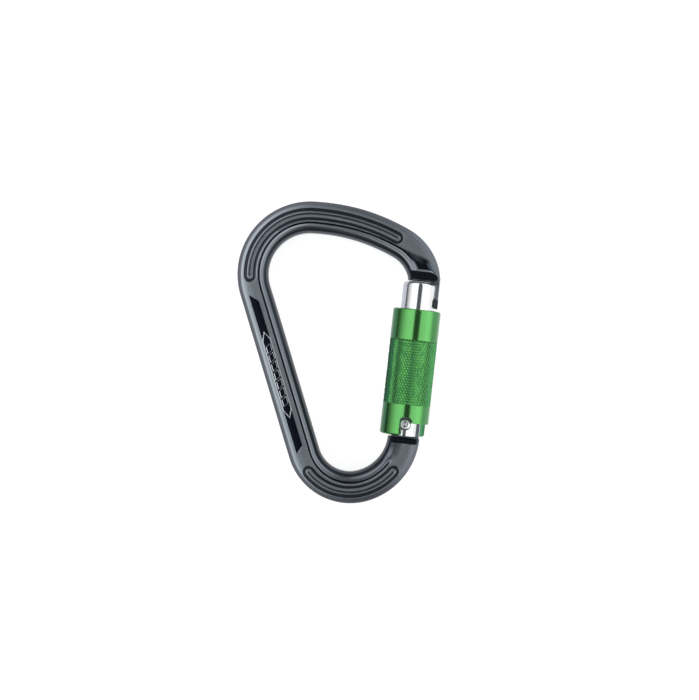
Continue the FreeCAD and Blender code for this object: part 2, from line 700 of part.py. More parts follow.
# ---------------------------------------------------------------- check and export
doc.recompute()
for item in doc.Objects:
    if "Invalid" in item.State or "Error" in item.State:
        raise RuntimeError("%s did not build" % item.Name)
os.makedirs("parts", exist_ok=True)
for item in doc.Objects:
    if item.TypeId != "PartDesign::Body":
        continue
    shape = item.Shape
    if shape.isNull() or not shape.isValid() or len(shape.Solids) != 1:
        raise RuntimeError("%s is not one valid solid" % item.Label)
    box = shape.BoundBox
    print(item.Label, round(shape.Volume, 1), [round(v, 2) for v in (
        box.XMin, box.XMax, box.YMin, box.YMax, box.ZMin, box.ZMax)])
    shape.exportStep("parts/%s.step" % item.Label)
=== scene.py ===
import math

import bmesh
import bpy
import numpy as np
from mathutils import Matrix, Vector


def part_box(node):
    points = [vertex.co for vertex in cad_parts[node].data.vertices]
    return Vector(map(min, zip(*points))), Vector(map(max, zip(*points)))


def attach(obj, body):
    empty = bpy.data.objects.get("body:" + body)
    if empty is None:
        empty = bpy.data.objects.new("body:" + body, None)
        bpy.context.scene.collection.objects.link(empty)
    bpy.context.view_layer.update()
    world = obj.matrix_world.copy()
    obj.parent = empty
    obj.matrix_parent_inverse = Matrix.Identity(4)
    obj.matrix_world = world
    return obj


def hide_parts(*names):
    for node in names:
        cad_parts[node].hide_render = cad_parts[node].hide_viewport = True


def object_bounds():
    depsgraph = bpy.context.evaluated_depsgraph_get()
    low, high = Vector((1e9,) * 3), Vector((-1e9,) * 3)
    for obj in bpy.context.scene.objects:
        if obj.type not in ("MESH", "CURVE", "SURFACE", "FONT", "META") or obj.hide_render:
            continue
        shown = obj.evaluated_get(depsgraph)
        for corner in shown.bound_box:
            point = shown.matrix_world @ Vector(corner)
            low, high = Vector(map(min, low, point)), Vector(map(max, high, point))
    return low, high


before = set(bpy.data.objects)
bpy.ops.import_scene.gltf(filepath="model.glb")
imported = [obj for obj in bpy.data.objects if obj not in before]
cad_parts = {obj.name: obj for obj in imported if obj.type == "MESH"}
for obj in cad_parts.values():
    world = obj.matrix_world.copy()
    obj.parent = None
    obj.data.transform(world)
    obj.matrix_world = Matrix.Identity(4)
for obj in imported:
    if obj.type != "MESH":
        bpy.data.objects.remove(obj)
CAD_LOW, CAD_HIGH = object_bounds()
MM = 0.001

# ------------------------------------------------------------------ where things are, in mm about the rivet
rivet_low, rivet_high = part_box("hinge_rivet")
RIVET = np.array([(rivet_low.x + rivet_high.x) / 2, (rivet_low.y + rivet_high.y) / 2, 0.0]) / MM
HALF_W = 5.675  # half the bar's width
SHOULDER_Y = -4.9  # the bar's end at the hinge
NOSE_Y = 51.6  # the bar's end at the nose
# Centre-line of the bar as tangent arcs: centre x, centre y, radius.
LOW_RIGHT = (-20.121, SHOULDER_Y, 20.321)
LOW_LEFT = (-19.06, -7.883, 17.155)
TOP_LEFT = (-39.79, 49.62, 20.675)
CROWN = (-37.16, -1.042, 71.405)
TOP_RIGHT = (-15.159, 48.984, 16.755)
NOSE_ARC = (-8.58, NOSE_Y, 9.675)


# ------------------------------------------------------------------ helpers
def make_mesh(name, verts, faces, body, material, sharp=35.0, masks=None):
    """A closed piece from vertices in mm about the rivet.

    Masks are four values a vertex, from 0 to 1. The frame's second one also goes down to -1.
    """
    mesh = bpy.data.meshes.new(name)
    placed = (np.asarray(verts, float) + RIVET) * MM
    mesh.from_pydata(placed.tolist(), [], faces)
    if masks is not None:
        layer = mesh.attributes.new("marks", "FLOAT_COLOR", "POINT")
        layer.data.foreach_set("color", np.asarray(masks, np.float32).ravel())
    bm = bmesh.new()
    bm.from_mesh(mesh)
    bmesh.ops.remove_doubles(bm, verts=bm.verts, dist=1e-6)
    loose = [v for v in bm.verts if not v.link_faces]
    bmesh.ops.delete(bm, geom=loose, context="VERTS")
    bmesh.ops.recalc_face_normals(bm, faces=bm.faces)
    bm.to_mesh(mesh)
    bm.free()
    mesh.polygons.foreach_set("use_smooth", [True] * len(mesh.polygons))
    mesh.set_sharp_from_angle(angle=math.radians(sharp))
    piece = bpy.data.objects.new(name, mesh)
    bpy.context.scene.collection.objects.link(piece)
    mesh.materials.append(material)
    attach(piece, body)
    return piece


def grid_faces(rows, cols, loop_rows=False):
    """Quads of a grid of rows x cols vertices. Each row closes on itself, and the rows may too."""
    i, j = np.meshgrid(np.arange(rows if loop_rows else rows - 1), np.arange(cols), indexing="ij")
    i, j = i.ravel(), j.ravel()
    i2, j2 = (i + 1) % rows, (j + 1) % cols
    return np.stack([i * cols + j, i * cols + j2, i2 * cols + j2, i2 * cols + j], axis=1).tolist()


def soft_step(x):
    """0 up to 0, 1 from 1, and eased in between."""
    x = np.clip(x, 0.0, 1.0)
    return x * x * (3 - 2 * x)


def rise(x, start, width):
    """0 up to the start, and 1 a width beyond it."""
    return soft_step((x - start) / width)


def fall(x, end, width):
    """1 up to a width before the end, and 0 from the end on."""
    return soft_step((end - x) / width)


def inside(distance, edge):
    """1 inside a shape and 0 outside, with a soft edge centred on its outline."""
    return soft_step(0.5 - distance / edge)


def fillet(points, radii, steps=5):
    """Open polyline with its inner corners rounded."""
    points = [np.array(p, float) for p in points]
    out = [points[0]]
    for before, at, after, radius in zip(points, points[1:], points[2:], radii):
        a, b = before - at, after - at
        la, lb = np.linalg.norm(a), np.linalg.norm(b)
        a, b = a / la, b / lb
        half = math.acos(np.clip(a @ b, -1, 1)) / 2
        cut = min(radius / math.tan(half), 0.48 * la, 0.48 * lb)
        first, last = at + a * cut, at + b * cut
        for t in np.linspace(0, 1, steps + 1):
            out.append((1 - t) ** 2 * first + 2 * t * (1 - t) * at + t ** 2 * last)
    out.append(points[-1])
    return np.array(out)


def resample(points, step):
    """Points of a polyline with its long runs divided."""
    out = [points[0]]
    for a, b in zip(points, points[1:]):
        count = max(1, int(math.ceil(np.linalg.norm(b - a) / step)))
        out += [a + (b - a) * k / count for k in range(1, count + 1)]
    return np.array(out)


# ------------------------------------------------------------------ materials
GRAIN_HIGH = 0.00002  # height of the metal's grain, in metres
# Painted shade darkens the barrel's inner side, fading out between these two places.
SHADE_FROM, UNSHADED_FROM = 4.95, 4.3  # mm inwards of the gate's axis
SHADED_STEEL = (0.47, 0.47, 0.54)
FRAME_DARKER, FRAME_LIGHTER = (0.315, 0.35, 0.385), (0.345, 0.385, 0.42)
# Painted shade colours for the frame's bevels, cuts, panel and pocket.
FLANK_SHADE = (0.125, 0.135, 0.155)
HOLLOW_SHADE = (0.022, 0.027, 0.038)
PANEL_SHADE = (0.012, 0.016, 0.028)
POCKET_SHADE, POCKET_ROUGH = (0.024, 0.033, 0.044), 0.16
BARE_METAL = (0.75, 0.79, 0.83)
# Painted shade greens for the knurl's grooves and the sleeve's sides.
GROOVE_SHADE_GREEN, SIDE_SHADE_GREEN = (0.012, 0.12, 0.05), (0.02, 0.10, 0.05)
# Painted shade for the rivet's dimple: its wall and its cup.
DIMPLE_WALL_SHADE, DIMPLE_CUP_SHADE = (0.16, 0.16, 0.19), (0.42, 0.42, 0.46)


def shader(name, **sockets):
    """New material with the named sockets of its principled shader set."""
    material = bpy.data.materials.new(name)
    material.use_nodes = True
    nodes, links = material.node_tree.nodes, material.node_tree.links
    principled = nodes["Principled BSDF"]
    for key, value in sockets.items():
        principled.inputs[key.replace("_", " ")].default_value = value
    return material, nodes, links, principled


def object_noise(nodes, links, scale, detail=4.0, stretch=(1, 1, 1)):
    """Noise in object space, with its scale in cycles a metre."""
    where = nodes.new("ShaderNodeTexCoord")
    mapping = nodes.new("ShaderNodeMapping")
    mapping.inputs["Scale"].default_value = stretch
    noise = nodes.new("ShaderNodeTexNoise")
    noise.inputs["Scale"].default_value = scale
    noise.inputs["Detail"].default_value = detail
    noise.inputs["Roughness"].default_value = 0.55
    links.new(where.outputs["Object"], mapping.inputs["Vector"])
    links.new(mapping.outputs["Vector"], noise.inputs["Vector"])
    return noise


def ramp(nodes, links, source, low, high):
    """Map a 0..1 value to a range."""
    node = nodes.new("ShaderNodeMapRange")
    node.inputs["From Min"].default_value = 0.3
    node.inputs["From Max"].default_value = 0.7
    node.inputs["To Min"].default_value = low
    node.inputs["To Max"].default_value = high
    links.new(source, node.inputs["Value"])
    return node.outputs["Result"]


def colour_mix(nodes, links, factor, first, second):
    """Mix of two fixed colours."""
    mix = nodes.new("ShaderNodeMix")
    mix.data_type = "RGBA"
    links.new(factor, mix.inputs["Factor"])
    mix.inputs["A"].default_value = (*first, 1)
    mix.inputs["B"].default_value = (*second, 1)
    return mix.outputs["Result"]


def bump(nodes, links, height, principled, strength, distance):
    """Surface grain from a height, with its distance in metres."""
    node = nodes.new("ShaderNodeBump")
    node.inputs["Strength"].default_value = strength
    node.inputs["Distance"].default_value = distance
    links.new(height, node.inputs["Height"])
    links.new(node.outputs["Normal"], principled.inputs["Normal"])


def blend(nodes, links, factor, base, target):
    """Mix a socket's colour or number towards a fixed one."""
    mix = nodes.new("ShaderNodeMix")
    if isinstance(target, tuple):
        mix.data_type = "RGBA"
        target = (*target, 1)
    links.new(factor, mix.inputs["Factor"])
    links.new(base, mix.inputs["A"])
    mix.inputs["B"].default_value = target
    return mix.outputs["Result"]


def mark_channels(nodes, links):
    """The mesh's own masks, as four factors."""
    marks = nodes.new("ShaderNodeAttribute")
    marks.attribute_name = "marks"
    split = nodes.new("ShaderNodeSeparateXYZ")
    links.new(marks.outputs["Color"], split.inputs["Vector"])
    return [split.outputs["X"], split.outputs["Y"], split.outputs["Z"], marks.outputs["Alpha"]]


def barrel_shade_mask(nodes, links):
    """Painted shade: 1 on the barrel's inner side and 0 elsewhere, by its place across the gate."""
    place = nodes.new("ShaderNodeTexCoord")
    axes = nodes.new("ShaderNodeSeparateXYZ")
    links.new(place.outputs["Object"], axes.inputs["Vector"])
    side = nodes.new("ShaderNodeMapRange")
    side.interpolation_type = "SMOOTHSTEP"
    side.inputs["From Min"].default_value = (RIVET[0] - SHADE_FROM) * MM
    side.inputs["From Max"].default_value = (RIVET[0] - UNSHADED_FROM) * MM
    side.inputs["To Min"].default_value = 1.0
    side.inputs["To Max"].default_value = 0.0
    links.new(axes.outputs["X"], side.inputs["Value"])
    return side.outputs["Result"]


def metal(name, first, second, rough, grain=900.0, stretch=(1, 1, 1), bumpiness=0.05, shades=(),
          shaded_side=False):
    """Metal with uneven colour and sheen and a fine grain.

    Shades are the painted shade colours that the mesh's masks bring in. A shaded side has painted shade on
    the barrel's inner side.
    """
    material, nodes, links, principled = shader(name, Metallic=1.0)
    cloud = object_noise(nodes, links, 120.0)
    colour = colour_mix(nodes, links, ramp(nodes, links, cloud.outputs["Fac"], 0, 1), first, second)
    if shades:
        for factor, shade in zip(mark_channels(nodes, links), shades):
            colour = blend(nodes, links, factor, colour, shade)
    if shaded_side:
        colour = blend(nodes, links, barrel_shade_mask(nodes, links), colour, SHADED_STEEL)
    links.new(colour, principled.inputs["Base Color"])
    fine = object_noise(nodes, links, grain, detail=6.0, stretch=stretch)
    links.new(ramp(nodes, links, fine.outputs["Fac"], *rough), principled.inputs["Roughness"])
    bump(nodes, links, fine.outputs["Fac"], principled, bumpiness, GRAIN_HIGH)
    return material


def anodised_frame():
    """Dark anodising: satin on the faces, with painted shade darkening the bevels and every cut and making
    the panel near-black.

    The pocket at the nose is glossy, with a painted dark reflection in its colour. Where the panel's mask is
    negative, bare metal shows.
    """
    material, nodes, links, principled = shader("anodised_dark", Metallic=1.0)
    hollow_shade_mark, panel_shade_and_bare_mark, glossy_shade_mark, flank_shade_mark = mark_channels(nodes, links)
    cloud = object_noise(nodes, links, 90.0)
    fine = object_noise(nodes, links, 2600.0, detail=3.0)
    bare_mark = nodes.new("ShaderNodeMath")
    bare_mark.operation = "MULTIPLY"
    bare_mark.inputs[1].default_value = -1.0
    links.new(panel_shade_and_bare_mark, bare_mark.inputs[0])
    uneven = ramp(nodes, links, cloud.outputs["Fac"], 0, 1)
    colour = colour_mix(nodes, links, uneven, FRAME_DARKER, FRAME_LIGHTER)
    # Each mask blends in a painted shade colour, except the bare metal of the lines.
    for factor, shade in (
        (flank_shade_mark, FLANK_SHADE),
        (hollow_shade_mark, HOLLOW_SHADE),
        (panel_shade_and_bare_mark, PANEL_SHADE),
        (bare_mark.outputs[0], BARE_METAL),
        (glossy_shade_mark, POCKET_SHADE),
    ):
        colour = blend(nodes, links, factor, colour, shade)
    links.new(colour, principled.inputs["Base Color"])
    rough = ramp(nodes, links, fine.outputs["Fac"], 0.27, 0.33)
    links.new(blend(nodes, links, glossy_shade_mark, rough, POCKET_ROUGH), principled.inputs["Roughness"])
    bump(nodes, links, fine.outputs["Fac"], principled, 0.03, GRAIN_HIGH / 2)
    return material


frame_metal = anodised_frame()
sleeve_metal = metal("anodised_green", (0.10, 0.335, 0.095), (0.115, 0.365, 0.105), (0.15, 0.20),
                     grain=1500.0, bumpiness=0.02, shades=(GROOVE_SHADE_GREEN, SIDE_SHADE_GREEN))
# The barrel's inner side takes painted shade.
gate_metal = metal("polished_barrel", (0.68, 0.69, 0.70), (0.73, 0.74, 0.745), (0.10, 0.17),
                   grain=700.0, stretch=(0.15, 12, 0.15), shaded_side=True)
rivet_metal = metal("rivet_plate", (0.80, 0.80, 0.81), (0.87, 0.87, 0.88), (0.36, 0.44),
                    shades=(DIMPLE_WALL_SHADE, DIMPLE_CUP_SHADE))
spring_metal = metal("spring_wire", (0.45, 0.45, 0.47), (0.55, 0.55, 0.56), (0.2, 0.34))
washer_metal = metal("washer_steel", (0.55, 0.55, 0.57), (0.62, 0.62, 0.63), (0.25, 0.38))
plunger_metal = metal("plunger_steel", (0.50, 0.50, 0.52), (0.6, 0.6, 0.61), (0.2, 0.3),
                      stretch=(0.2, 9, 0.2))


# ------------------------------------------------------------------ frame: a section swept along the bar
def heading_between(a, b):
    """Direction from one arc's centre to the next one's, where the two arcs meet."""
    return math.degrees(math.atan2(b[1] - a[1], b[0] - a[0]))


span = (TOP_LEFT[0] - LOW_LEFT[0], TOP_LEFT[1] - LOW_LEFT[1])
SPINE_TILT = math.degrees(math.atan2(span[1], span[0])
                          + math.asin((TOP_LEFT[2] - LOW_LEFT[2]) / math.hypot(*span)))
SPINE_NORMAL = SPINE_TILT + 90
joint_low = heading_between(LOW_RIGHT, LOW_LEFT)
joint_crown = heading_between(CROWN, TOP_LEFT)
joint_right = heading_between(CROWN, TOP_RIGHT)
joint_nose = heading_between(TOP_RIGHT, NOSE_ARC)


def on_arc(arc, angle):
    """Point of an arc in a direction, in degrees."""
    a = math.radians(angle)
    return np.array([arc[0] + arc[2] * math.cos(a), arc[1] + arc[2] * math.sin(a)])


# Every run of the centre-line, clockwise from the hinge: arc, first and last angle, or None for the spine.
RUNS = [
    (LOW_RIGHT, 0.0, joint_low),
    (LOW_LEFT, joint_low, SPINE_NORMAL - 360),
    None,
    (TOP_LEFT, SPINE_NORMAL, joint_crown),
    (CROWN, joint_crown, joint_right),
    (TOP_RIGHT, joint_right, joint_nose),
    (NOSE_ARC, joint_nose, 0.0),
]
SPINE_FROM, SPINE_TO = on_arc(LOW_LEFT, SPINE_NORMAL), on_arc(TOP_LEFT, SPINE_NORMAL)


def run_length(run):
    """Length of one run of the centre-line."""
    if run is None:
        return float(np.linalg.norm(SPINE_TO - SPINE_FROM))
    return run[0][2] * math.radians(run[1] - run[2])


STARTS = np.concatenate([[0], np.cumsum([run_length(r) for r in RUNS])])
LENGTH = STARTS[-1]
SPINE_S = STARTS[2]


def locate(s):
    """Centre-line point and outward direction at distance s."""
    k = min(int(np.searchsorted(STARTS, s, side="right")) - 1, len(RUNS) - 1)
    run, t = RUNS[k], s - STARTS[k]
    if run is None:
        forwards = (SPINE_TO - SPINE_FROM) / run_length(None)
        a = math.radians(SPINE_NORMAL)
        return SPINE_FROM + forwards * t, np.array([math.cos(a), math.sin(a)])
    angle = run[1] - math.degrees(t / run[0][2])
    a = math.radians(angle)
    return on_arc(run[0], angle), np.array([math.cos(a), math.sin(a)])


def s_of(run_index, angle):
    """Distance along the centre-line of a direction on one of its arcs."""
    run = RUNS[run_index]
    return STARTS[run_index] + run[0][2] * math.radians(run[1] - angle)


WEB = 4.8  # height of the face above the bar's middle
BEVEL_IN = HALF_W - 1.55  # where the outer bevel starts
BEAD_IN = 3.55 - HALF_W  # where the bead rises beside its line
LINE_LEVEL = 4.3  # height of the line's floor


def bar_section():
    """The bar's section, from its outer side over the face and the bead, and back over the mirror image."""
    outline = [
        (HALF_W, 0.0),
        (HALF_W, 3.3),
        (BEVEL_IN + 0.05, WEB - 0.15),
        (3.3, WEB - 0.05),
        (2.4, WEB + 0.015),
        (0.9, WEB + 0.05),
        (BEAD_IN + 0.62, WEB),
        (BEAD_IN + 0.42, LINE_LEVEL),
        (BEAD_IN + 0.1, LINE_LEVEL),
        (BEAD_IN - 0.1, 5.0),
        (BEAD_IN - 0.75, 5.24),
        (BEAD_IN - 1.6, 5.0),
        (-HALF_W + 0.75, 3.75),
        (-HALF_W, 1.8),
        (-HALF_W, 0.0),
    ]
    radii = [1.0, 0.25, 12.0, 20.0, 20.0, 0.13, 0.1, 0.1, 0.35, 1.2, 1.6, 1.6, 2.0]
    half = resample(fillet(outline, radii, steps=6), 0.1)
    mirror = half[::-1][1:-1] * np.array([1, -1])
    return np.vstack([half, mirror])


# Every point of the swept bar: S along it, UU across it and HH up from its middle.
U, Z = bar_section().T
STATION = 0.15
stations = np.linspace(0, LENGTH, int(LENGTH / STATION) + 1)
places = [locate(s) for s in stations]
CENTRE = np.array([p[0] for p in places])
OUTWARD = np.array([p[1] for p in places])
S = np.broadcast_to(stations[:, None], (len(stations), len(U)))
UU = np.broadcast_to(U[None, :], S.shape)
HH = np.broadcast_to(np.abs(Z)[None, :], S.shape)
END_ZONE = 14
NEAR_HINGE, NEAR_NOSE = S < END_ZONE, S > LENGTH - END_ZONE


def along(*pairs):
    """Smooth value at every station from (distance, value) pairs."""
    values = np.interp(stations, *zip(*pairs))
    return np.convolve(np.pad(values, 20, mode="edge"), np.ones(41) / 41, mode="valid")[:, None]


def bar_across():
    """Place across the bar: the bead and both sides wander a little along its length, as forged ones do."""
    bead = along((0, 0.1), (14, 0.05), (24, 0.2), (40, -0.15), (52, -0.42), (135, -0.45), (160, -0.34),
                 (172, -0.15), (181, -0.05), (LENGTH, 0.0))
    outer = along((0, 0.0), (24, 0.1), (44, -0.22), (130, -0.28), (155, -0.12), (168, 0.08), (LENGTH, 0.1))
    inner = along((0, 0.0), (24, 0.0), (44, -0.1), (100, -0.12), (118, 0.0), (140, -0.1), (152, -0.14),
                  (166, 0.0), (LENGTH, 0.05))
    bead_part = fall(U, -0.5, 1.0) * rise(U, -4.7, 1.8)
    outer_part = rise(U, 3.3, 2.0)
    inner_part = fall(U, -3.6, 1.6)
    return UU + bead * bead_part[None, :] + outer * outer_part[None, :] + inner * inner_part[None, :]


ACROSS = bar_across()
XX = CENTRE[:, :1] + OUTWARD[:, :1] * ACROSS
YY = CENTRE[:, 1:] + OUTWARD[:, 1:] * ACROSS


def band(first, last, out, inn):
    """Signed distance to a band of constant width with round ends."""
    mid, half = (out + inn) / 2, (out - inn) / 2
    beyond = np.maximum(0, np.maximum(first - S, S - last))
    return np.hypot(beyond, ACROSS - mid) - half


def left_of(point, towards):
    """Signed distance to the line through two (distance along the spine, across) points."""
    a, b = np.array(point, float), np.array(towards, float)
    d = (b - a) / np.linalg.norm(b - a)
    return (S - (a[0] + SPINE_S)) * d[1] - (UU - a[1]) * d[0]


def rib_end(run_index, side, y):
    """Distance along the bar where a rib's round end is centred, from its height."""
    arc = RUNS[run_index][0]
    angle = math.degrees(math.asin((y - arc[1]) / (arc[2] + RIB_MID)))
    return s_of(run_index, angle if side > 0 else (180 - angle if y > 0 else -180 - angle))


# Ribs: a long groove with round ends about an island, with a fine vein along the island's middle.
RIB_DEEP, RIB_EDGE, RIB_DARK, RIB_MID = 0.62, 0.3, 0.9, 1.25
GROOVE, ISLAND, VEIN = (3.3, -0.8), (2.3, 0.0), (1.62, 1.12)
VEIN_EDGE, VEIN_SHARE = 0.26, 0.8
# First end, last end, and how far the rib lies outwards. The heights place the round ends.
RIBS = (
    (rib_end(0, 1, -17.35), rib_end(1, -1, -20.8), 0.2),
    (rib_end(3, -1, 46.6), rib_end(4, 1, 66.3), -0.4),
)


def rib_cut(first, last, aside):
    """Share of the rib's full depth that is cut at each point."""
    def part(sides, edge):
        return inside(band(first, last, sides[0] + aside, sides[1] + aside), edge)

    groove = part(GROOVE, RIB_EDGE) - part(ISLAND, RIB_EDGE)
    return np.clip(groove + VEIN_SHARE * part(VEIN, VEIN_EDGE), 0, 1)


# Panel in the spine, with slanted ends, and its cartouche, as distances along the spine.
PANEL_DEEP, PANEL_OUT, PANEL_IN, PANEL_EDGE = 0.5, 2.42, -0.32, 0.16
PANEL_LOW_END = ((0.6, 2.6), (3.05, -0.4))
PANEL_HIGH_END = ((57.0, -0.4), (60.3, 2.6))
CREST_FROM, CREST_TO, CREST_MID, CREST_HALF, CREST_TAPER = 13.4, 46.2, 1.02, 1.62, 3.4
CREST_RIM, CREST_EDGE = 0.4, 0.14
LINK_PITCH, LINK_HALF_LONG, LINK_HALF_HIGH, LINK_LEAN, LINK_LINE = 3.3, 1.25, 0.86, 0.5, 0.13
LINKS_EACH_WAY = 3.5


def cartouche(grow):
    """Signed distance to the long hexagon with pointed ends."""
    side = np.abs(UU - CREST_MID) - CREST_HALF
    slope = math.hypot(CREST_TAPER, CREST_HALF)
    ends = np.maximum(SPINE_S + CREST_FROM - S, S - (SPINE_S + CREST_TO))
    slanted = (ends * CREST_HALF + np.abs(UU - CREST_MID) * CREST_TAPER) / slope
    return np.maximum(side, slanted) - grow


def row_of_links():
    """Outlines of a row of slanted links that stands in the cartouche."""
    from_middle = S - SPINE_S - (CREST_FROM + CREST_TO) / 2
    phase = (from_middle + (UU - CREST_MID) * LINK_LEAN) / LINK_PITCH
    link = np.maximum(np.abs(phase - np.round(phase)) * LINK_PITCH - LINK_HALF_LONG,
                      np.abs(UU - CREST_MID) - LINK_HALF_HIGH)
    row = inside(np.abs(from_middle) - LINKS_EACH_WAY * LINK_PITCH, 0.1)
    return row * inside(np.abs(link) - LINK_LINE, CREST_EDGE)


def spine_panel():
    """Cut share of the sunk panel, and its mask: 1 on the floor, which takes painted shade, and -1 on bare
    lines.
    """
    panel = np.maximum.reduce([
        UU - PANEL_OUT,
        PANEL_IN - UU,
        left_of(*PANEL_LOW_END),
        left_of(*PANEL_HIGH_END),
    ])
    rim = inside(cartouche(0.0), CREST_EDGE) - inside(cartouche(-CREST_RIM), CREST_EDGE)
    raised = np.clip(rim + row_of_links(), 0, 1)
    sunk = inside(np.minimum(panel, cartouche(-CREST_RIM / 2)), PANEL_EDGE) * (1 - raised)
    return sunk, sunk - raised * inside(cartouche(0.1), 0.1)


# The line beside the bead starts clear of both ends, and the bead sinks into the face at the hinge.
LINE_FROM, LINE_TO, LINE_MID, LINE_HALF = 9.6, LENGTH - 8.0, BEAD_IN + 0.26, 0.3
MELT_END, MELT_LONG = 12.5, 4.0
FACE_FROM = 3.9  # height above which a point counts as on the face


def line_and_bead(height):
    """Fill the line near both ends and sink the bead at the hinge. Also gives the line's mask."""
    zone = inside(np.abs(UU - LINE_MID) - LINE_HALF, 0.1)
    open_share = rise(S, LINE_FROM, 2.0) * fall(S, LINE_TO, 3.0)
    in_line = (UU < BEAD_IN + 0.7) & (UU > BEAD_IN - 0.2)
    filled = np.where(in_line, np.maximum(height, WEB), height)
    height = height + (filled - height) * (1 - open_share)
    plain = np.minimum(height, WEB + 0.05 - 0.1 * np.maximum(0, -2.2 - UU) ** 2)
    melt = fall(S, MELT_END, MELT_LONG) * (UU < 0)
    return height + (plain - height) * melt, zone * open_share


# The nose face dips into a pocket between a curved bank and a ridge over the milled step.
POCKET_DEEP, POCKET_DARK, POCKET_REACH = 0.55, 0.95, 25
RIDGE_Y, RIDGE_BENDS_FROM, RIDGE_BEND = 55.7, 1.5, 0.09
BANK_Y, BANK_SLOPE, BANK_BENDS_FROM, BANK_BEND = 60.4, 0.36, 1.1, 0.24


def bend_down(start, amount):
    """Parabola that falls away outwards from a start."""
    return amount * np.maximum(0, XX - start) ** 2


def nose_pocket():
    """Dip of the pocket and the mask of its glossy floor, which also takes a painted dark reflection."""
    ridge = RIDGE_Y - bend_down(RIDGE_BENDS_FROM, RIDGE_BEND)
    bank = BANK_Y - BANK_SLOPE * XX - bend_down(BANK_BENDS_FROM, BANK_BEND)
    near = S > LENGTH - POCKET_REACH
    dip = fall(YY, bank, 3.4) * rise(YY, ridge - 0.35, 0.8)
    dip = dip * rise(UU, BEAD_IN - 0.5, 1.4) * fall(UU, 4.7, 1.5) * near
    glossy = fall(YY, bank, 1.3) * rise(YY, ridge - 0.1, 0.35)
    glossy = glossy * rise(UU, BEAD_IN - 0.2, 0.7) * fall(UU, 4.6, 0.9) * near
    return POCKET_DEEP * dip, POCKET_DARK * glossy


# A milled step crosses the bar at each end: its level, and its lower and upper edge.
STEP_LEVEL, NOSE_STEP, HINGE_STEP = 4.15, (52.2, 54.9), (-6.9, -5.2)
STEP_EDGE, STEP_BENDS_FROM, STEP_BEND = 0.24, 2.6, 0.1
# Painted shade levels: the lips, the bead's inner slope, the hinge corner and both end faces.
LIP_DARK, INNER_DARK, CORNER_DARK, END_DARK = 0.75, 0.92, 0.85, 0.8


def milled_steps():
    """Cut share of the two steps. The nose step's upper edge curves down towards the outer side."""
    low, high = NOSE_STEP
    nose_top = high - bend_down(STEP_BENDS_FROM, STEP_BEND)
    nose = inside(np.maximum(low - YY, YY - nose_top), STEP_EDGE) * NEAR_NOSE
    low, high = HINGE_STEP
    hinge = inside(np.maximum(low - YY, YY - high), STEP_EDGE) * NEAR_HINGE
    return (nose + hinge) * rise(UU, -5.2, 0.5) * fall(UU, 5.3, 0.5)


def dark_lips():
    """Painted shade on the narrow lips between the steps and the end faces."""
    lips = NEAR_NOSE * fall(YY, 53.0, 0.5) + NEAR_HINGE * rise(YY, -6.0, 0.5)
    return LIP_DARK * lips * rise(ACROSS, -5.4, 0.4) * fall(ACROSS, 5.5, 0.4)


def flank_shade():
    """Painted shade on the outer bevel, on the bead's inner slope and beside the hinge."""
    bead = along((0, 0.9), (14, 0.95), (20, 0.92), (26, 0.84), (36, 0.7), (50, 0.62), (100, 0.7),
                 (112, 0.66), (125, 0.36), (150, 0.3), (170, 0.3), (182, 0.4), (LENGTH, 0.6))
    flank = np.maximum(rise(ACROSS, 3.72, 0.6), bead * fall(ACROSS, -1.7, 0.6))
    return np.maximum(flank, 0.7 * fall(S, 10.0, 4.0) * fall(ACROSS, 0.3, 1.4))


def bar_surface():
    """Height of every point above the bar's middle, and its masks."""
    # Painted shade: the hollow mask darkens the ribs' grooves, the line, the steps, the lips, the bead's
    # inner slope, the hinge corner and both end faces.
    depth, hollow = np.zeros(S.shape), np.zeros(S.shape)
    for rib in RIBS:
        cut = rib_cut(*rib)
        depth += RIB_DEEP * cut
        hollow = np.maximum(hollow, RIB_DARK * cut)
    sunk, panel = spine_panel()
    depth += PANEL_DEEP * sunk
    on_face = HH > FACE_FROM
    height, line = line_and_bead(HH - np.where(on_face, depth, 0.0))
    dip, glossy = nose_pocket()
    height = height - np.where(on_face, dip, 0)
    steps = milled_steps()
    height = height - steps * np.maximum(0, height - STEP_LEVEL)
    inner_side = INNER_DARK * fall(ACROSS, -3.3, 1.1)
    hinge_corner = CORNER_DARK * fall(S, 8.0, 4.5) * fall(ACROSS, -1.4, 1.8)
    for mask in (line, steps, dark_lips(), inner_side, hinge_corner):
        hollow = np.maximum(hollow, mask)
    hollow[[0, -1]] = np.maximum(hollow[[0, -1]], END_DARK)
    # The painted shade fades down the inner flank, and stops at the face's edge elsewhere.
    shown = np.where(ACROSS < -4.2, rise(height, 0.6, 2.0), height > 3.6)
    height = height * np.where(Z < 0, -1, 1)[None, :]
    masks = [hollow * shown, panel * shown, glossy * shown, flank_shade()]
    return height, np.stack(masks, axis=2)


END_R = 0.22


def swept_bar():
    """Vertices, faces and masks of the bar. Both end faces have a small rounded edge."""
    height, masks = bar_surface()
    from_end = np.minimum(END_R, np.minimum(stations, LENGTH - stations))
    tuck = END_R - np.sqrt(END_R ** 2 - (END_R - from_end) ** 2)
    shrink = (1 - tuck / HALF_W)[:, None]
    flat = CENTRE[:, None, :] + (ACROSS * shrink)[:, :, None] * OUTWARD[:, None, :]
    verts = np.concatenate([flat, (height * shrink)[:, :, None]], axis=2).reshape(-1, 3)
    count = len(U)
    last = (len(stations) - 1) * count
    faces = grid_faces(len(stations), count)
    faces += [list(range(count)), list(range(last, last + count))]
    return verts, faces, masks.reshape(-1, 4)


